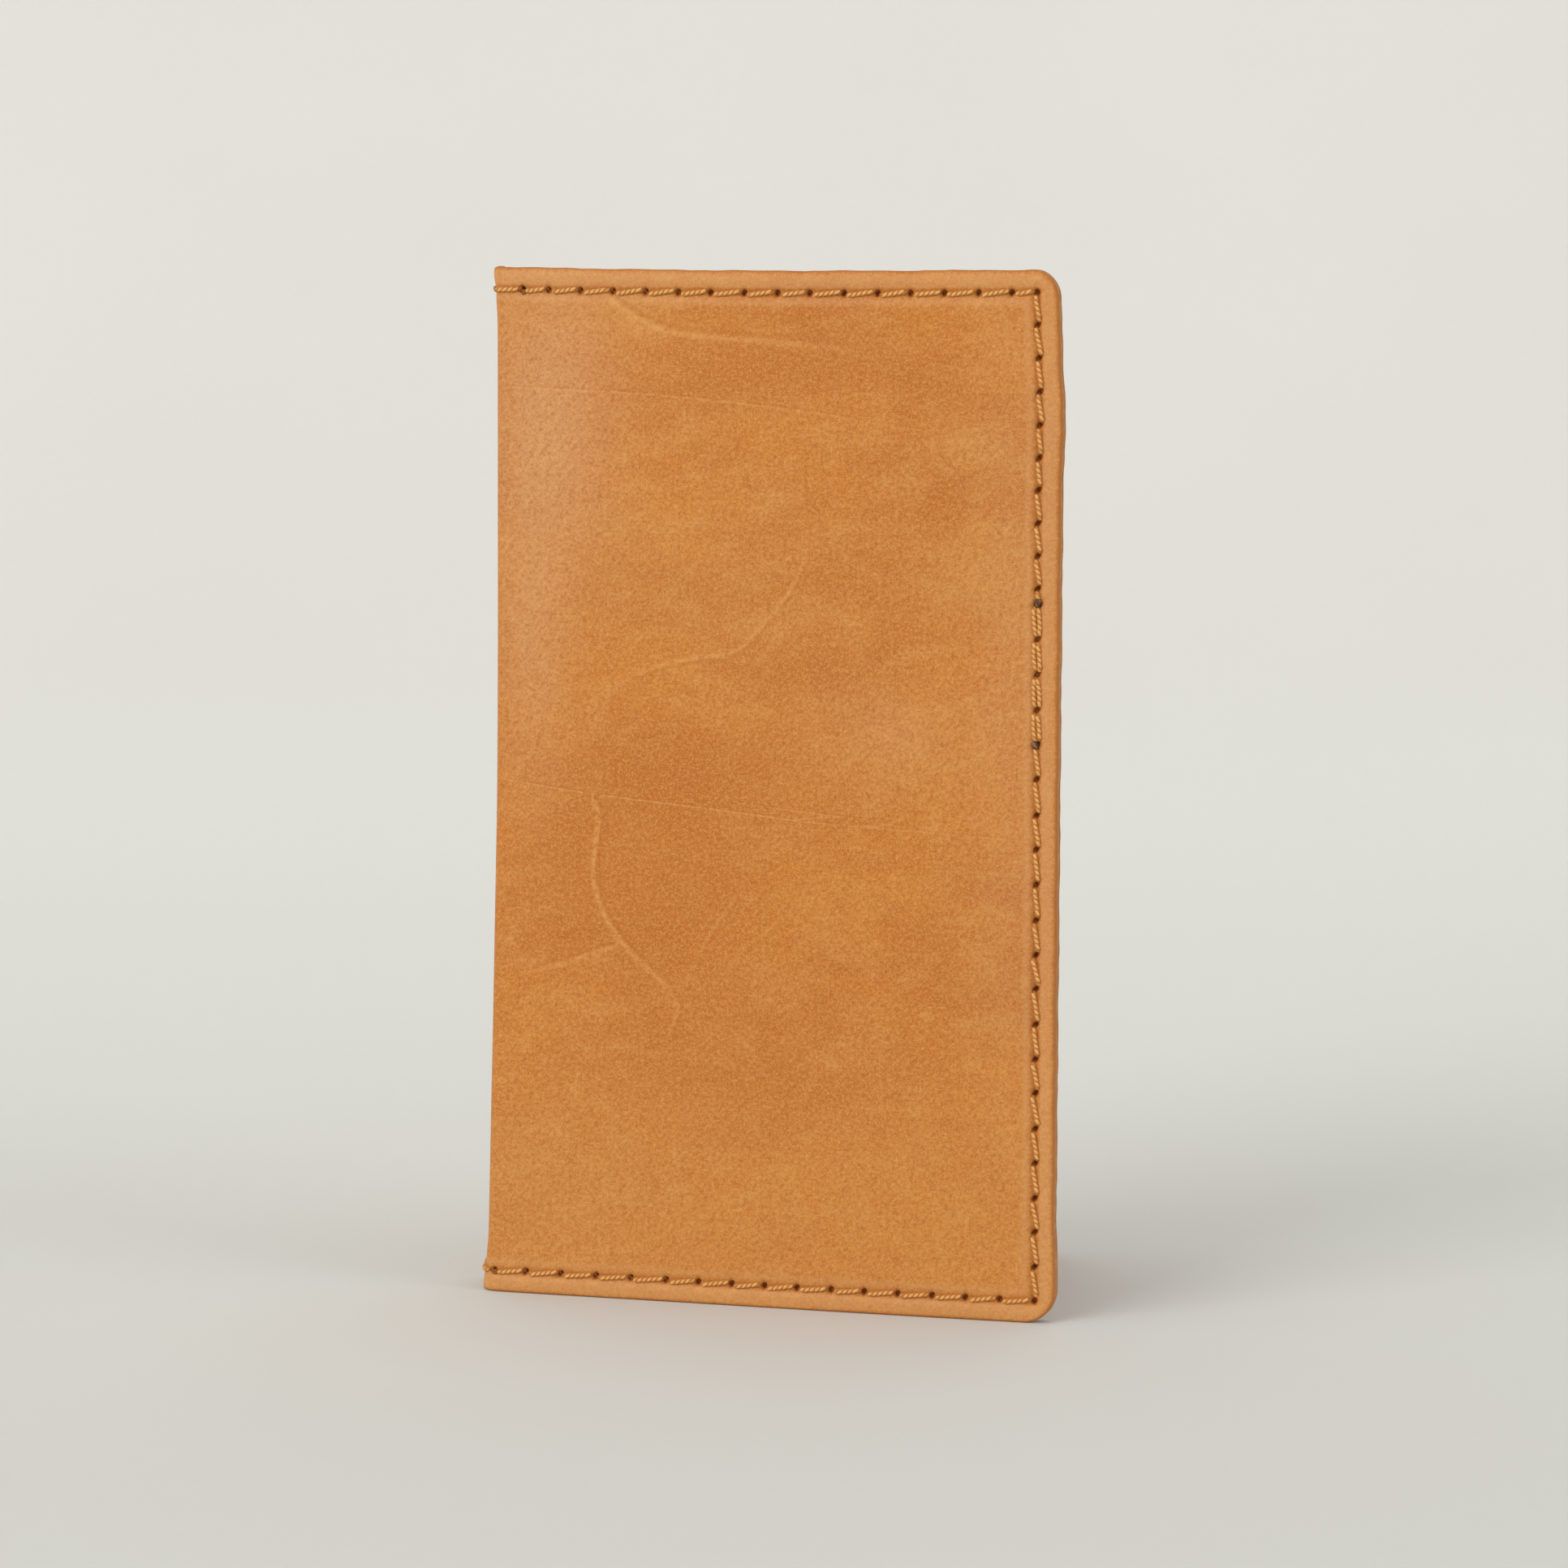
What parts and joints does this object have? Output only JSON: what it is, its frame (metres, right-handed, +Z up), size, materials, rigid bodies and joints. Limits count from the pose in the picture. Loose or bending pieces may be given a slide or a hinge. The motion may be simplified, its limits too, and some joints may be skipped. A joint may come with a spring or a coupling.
{
  "type": "long bifold wallet",
  "caption": "Long leather bifold wallet that stands in a V, with a folding spine, perimeter stitching and sewn pockets that open towards the fold.",
  "frame": {"origin": "at floor level, at the middle of the box of the standing, partly opened wallet", "axes": "+Z up along the fold, -X towards the spine, -Y towards the front cover"},
  "size_m": [0.0918, 0.0606, 0.165],
  "materials": {
    "outer_leather": "smooth tan full-grain leather, satin, with fine pores, veins and soft mottling",
    "pocket_leather": "thin tan lining leather, satin, slightly darker than the shell",
    "thread": "thick twisted waxed thread, tan"
  },
  "bodies": {
    "front_half": {"front_cover": "outer_leather", "front_lining": "pocket_leather", "slip_pocket": "pocket_leather", "front_needle_thread": "thread", "front_bobbin_thread": "thread"},
    "spine": {"spine_strip": "outer_leather", "spine_needle_thread": "thread", "spine_bobbin_thread": "thread"},
    "rear_half": {"rear_cover": "outer_leather", "rear_lining": "pocket_leather", "card_pocket_1": "pocket_leather", "card_pocket_2": "pocket_leather", "card_pocket_3": "pocket_leather", "rear_needle_thread": "thread", "rear_bobbin_thread": "thread", "divider_thread": "thread"}
  },
  "joints": [
    {"name": "front_fold", "type": "hinge", "parent": "front_half", "child": "spine", "pos_m": [-0.04476, -0.00575, 0], "axis": [0, 0, 1], "range_deg": [-15, 75]},
    {"name": "rear_fold", "type": "hinge", "parent": "spine", "child": "rear_half", "pos_m": [-0.04476, 0.00575, 0], "axis": [0, 0, 1], "range_deg": [-15, 75]}
  ],
  "couplings": [
    {"joint": "rear_fold", "follows": "front_fold", "ratio": 1}
  ]
}
